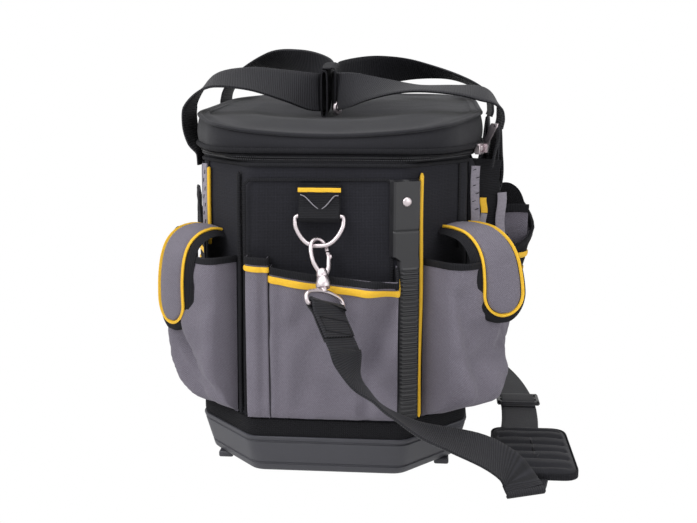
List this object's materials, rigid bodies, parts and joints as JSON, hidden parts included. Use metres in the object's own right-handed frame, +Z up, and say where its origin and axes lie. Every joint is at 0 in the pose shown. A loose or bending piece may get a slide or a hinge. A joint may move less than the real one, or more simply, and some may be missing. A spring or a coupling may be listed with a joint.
{
  "type": "tool bag",
  "caption": "Eight-sided fabric tool bag on a moulded base tray, with a zipped lid, webbing handles, outer pockets with flaps and a clip-on shoulder strap",
  "frame": {"origin": "on the floor under the middle of the base tray", "axes": "+Z up, +Y along the bag's length toward the rear end, +X across it toward the side where the strap lies"},
  "size_m": [0.4108, 0.5572, 0.3834],
  "materials": {
    "tray_plastic": "moulded, matt, dark grey",
    "black_plastic": "moulded, satin, black",
    "black_fabric": "woven polyester, black",
    "lid_fabric": "padded woven polyester, black",
    "grey_fabric": "woven polyester, grey",
    "yellow_trim": "woven piping, yellow",
    "webbing": "ribbed webbing, black",
    "nickel": "nickel plated, polished"
  },
  "bodies": {
    "bag": {"base_band": "black_fabric", "base_tray": "tray_plastic", "body_shell": "black_fabric", "bottom_board": "black_plastic", "front_corner_strip": "black_plastic", "front_left_pocket": "grey_fabric", "front_main_pocket": "grey_fabric", "front_piping_left": "yellow_trim", "front_piping_right": "yellow_trim", "front_right_pocket": "grey_fabric", "front_ring_tab": "webbing", "front_rivet": "nickel", "front_small_pocket": "grey_fabric", "handle_leg_left_front": "webbing", "handle_leg_left_rear": "webbing", "handle_leg_right_front": "webbing", "handle_leg_right_rear": "webbing", "left_side_pouch": "grey_fabric", "rear_corner_strip": "black_plastic", "rear_left_pocket": "grey_fabric", "rear_main_pocket": "grey_fabric", "rear_piping_left": "yellow_trim", "rear_piping_right": "yellow_trim", "rear_right_pocket": "grey_fabric", "rear_ring_tab": "webbing", "rear_rivet": "nickel", "rear_small_pocket": "grey_fabric", "right_side_pouch": "grey_fabric", "shoulder_pad": "black_fabric", "slider_buckle": "black_plastic", "strap_fold": "webbing", "strap_front_run": "webbing", "strap_rear_run": "webbing", "wall_lining": "grey_fabric", "zip_tape_lower": "black_fabric"},
    "lid": {"lid_shell": "lid_fabric", "lid_board": "grey_fabric", "zip_tape_upper": "black_fabric"},
    "zip_slider": {"zip_slider": "nickel"},
    "zip_pull": {"zip_pull": "nickel"},
    "handle_left": {"handle_left": "webbing", "grip_wrap": "black_fabric", "wrap_flap": "black_fabric"},
    "handle_right": {"handle_right": "webbing"},
    "front_right_flap": {"front_right_flap": "grey_fabric"},
    "front_left_flap": {"front_left_flap": "grey_fabric"},
    "rear_left_flap": {"rear_left_flap": "grey_fabric"},
    "rear_right_flap": {"rear_right_flap": "grey_fabric"},
    "front_clip": {"front_d_ring": "nickel", "front_swivel_eye": "nickel", "front_strap_end": "webbing"},
    "front_hook": {"front_hook": "nickel"},
    "front_gate": {"front_gate": "nickel"},
    "rear_clip": {"rear_d_ring": "nickel", "rear_swivel_eye": "nickel", "rear_strap_end": "webbing"},
    "rear_hook": {"rear_hook": "nickel"},
    "rear_gate": {"rear_gate": "nickel"}
  },
  "joints": [
    {"name": "lid_open", "type": "hinge", "parent": "bag", "child": "lid", "pos_m": [-0.13, 0, 0.2888], "axis": [0, -1, 0], "range_deg": [0, 95]},
    {"name": "handle_left_swing", "type": "hinge", "parent": "bag", "child": "handle_left", "pos_m": [-0.1385, 0, 0.2743], "axis": [0, -1, 0], "range_deg": [0, 124], "deforming": ["wrap_flap"]},
    {"name": "handle_right_swing", "type": "hinge", "parent": "bag", "child": "handle_right", "pos_m": [0.166, 0, 0.3123], "axis": [0, 1, 0], "range_deg": [0, 176]},
    {"name": "zip_slide", "type": "slide", "parent": "lid", "child": "zip_slider", "axis": [-0.4042, -0.9147, 0], "range_m": [0, 0.064]},
    {"name": "zip_pull_turn", "type": "hinge", "parent": "zip_slider", "child": "zip_pull", "pos_m": [0.13618, -0.11947, 0.2884], "axis": [0.4042, 0.9147, 0], "range_deg": [0, 140]},
    {"name": "front_right_flap_open", "type": "hinge", "parent": "bag", "child": "front_right_flap", "pos_m": [0.11148, -0.1484, 0.23], "axis": [-0.6724, -0.7402, 0], "range_deg": [0, 88]},
    {"name": "front_left_flap_open", "type": "hinge", "parent": "bag", "child": "front_left_flap", "pos_m": [-0.11148, -0.1484, 0.23], "axis": [-0.6724, 0.7402, 0], "range_deg": [0, 88]},
    {"name": "rear_left_flap_open", "type": "hinge", "parent": "bag", "child": "rear_left_flap", "pos_m": [-0.11148, 0.1484, 0.23], "axis": [0.6724, 0.7402, 0], "range_deg": [0, 88]},
    {"name": "rear_right_flap_open", "type": "hinge", "parent": "bag", "child": "rear_right_flap", "pos_m": [0.11148, 0.1484, 0.23], "axis": [0.6724, -0.7402, 0], "range_deg": [0, 88]},
    {"name": "front_clip_swing", "type": "hinge", "parent": "bag", "child": "front_clip", "pos_m": [-0.0063, -0.20121, 0.24], "axis": [-1, 0, 0], "range_deg": [0, 60]},
    {"name": "front_hook_swivel", "type": "hinge", "parent": "front_clip", "child": "front_hook", "pos_m": [-0.0063, -0.20852, 0.21609], "axis": [-0.1627, 0.5199, 0.8386], "range_deg": [0, 40]},
    {"name": "front_gate_open", "type": "hinge", "parent": "front_hook", "child": "front_gate", "pos_m": [0.00099, -0.22026, 0.19259], "axis": [0.6249, -0.6034, 0.4954], "range_deg": [0, 18], "stiffness_Nm_per_rad": 0.02, "springref_deg": -8.59},
    {"name": "rear_clip_swing", "type": "hinge", "parent": "bag", "child": "rear_clip", "pos_m": [0.0063, 0.20121, 0.24], "axis": [1, 0, 0], "range_deg": [0, 60]},
    {"name": "rear_hook_swivel", "type": "hinge", "parent": "rear_clip", "child": "rear_hook", "pos_m": [0.0063, 0.20852, 0.21609], "axis": [0.1627, -0.5199, 0.8386], "range_deg": [0, 40]},
    {"name": "rear_gate_open", "type": "hinge", "parent": "rear_hook", "child": "rear_gate", "pos_m": [-0.00099, 0.22026, 0.19259], "axis": [-0.6249, 0.6034, 0.4954], "range_deg": [0, 18], "stiffness_Nm_per_rad": 0.02, "springref_deg": -8.59}
  ],
  "couplings": [
    {"joint": "handle_left_swing", "follows": "lid_open", "ratio": 1.3},
    {"joint": "handle_right_swing", "follows": "lid_open", "ratio": 1.85}
  ]
}
